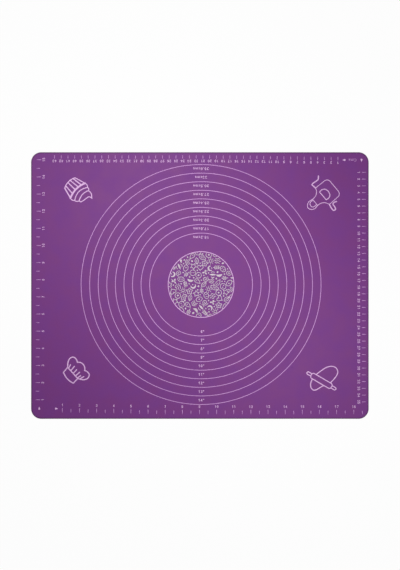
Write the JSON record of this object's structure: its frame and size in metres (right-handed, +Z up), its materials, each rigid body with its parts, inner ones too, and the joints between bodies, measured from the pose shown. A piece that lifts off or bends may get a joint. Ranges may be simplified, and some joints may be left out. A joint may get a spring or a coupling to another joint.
{
  "type": "pastry mat",
  "caption": "Flat flexible silicone pastry mat, glass-cloth reinforced, with printed measuring circles, edge rulers, a round panel of small drawings and kitchen figures in its corners.",
  "frame": {"origin": "centre of the underside, on the table", "axes": "+X along the mat's length, towards the end of the front inch ruler; +Y from the front edge to the back edge; +Z up out of the printed face"},
  "size_m": [0.5, 0.395, 0.0008],
  "materials": {
    "kneading_silicone": "satin",
    "underside_silicone": "matte",
    "glass_cloth": "matte",
    "print_ink": "satin"
  },
  "bodies": {
    "root": {"under_skin": "underside_silicone", "glass_cloth": "glass_cloth", "kneading_face": "kneading_silicone", "cupcake_print": "print_ink", "apron_print": "print_ink", "apron_pocket_print": "print_ink", "chef_hat_print": "print_ink", "rolling_pin_print": "print_ink", "circle_06_inch": "print_ink", "circle_07_inch": "print_ink", "circle_08_inch": "print_ink", "circle_09_inch": "print_ink", "circle_10_inch": "print_ink", "circle_11_inch": "print_ink", "circle_12_inch": "print_ink", "circle_13_inch": "print_ink", "circle_14_inch": "print_ink", "panel_rim": "print_ink", "panel_film": "print_ink", "front_inch_ruler": "print_ink", "left_inch_ruler": "print_ink", "back_cm_ruler": "print_ink", "right_cm_ruler": "print_ink", "inch_arrow_up": "print_ink", "inch_arrow_right": "print_ink", "cm_arrow_left": "print_ink", "cm_arrow_down": "print_ink"}
  },
  "joints": []
}
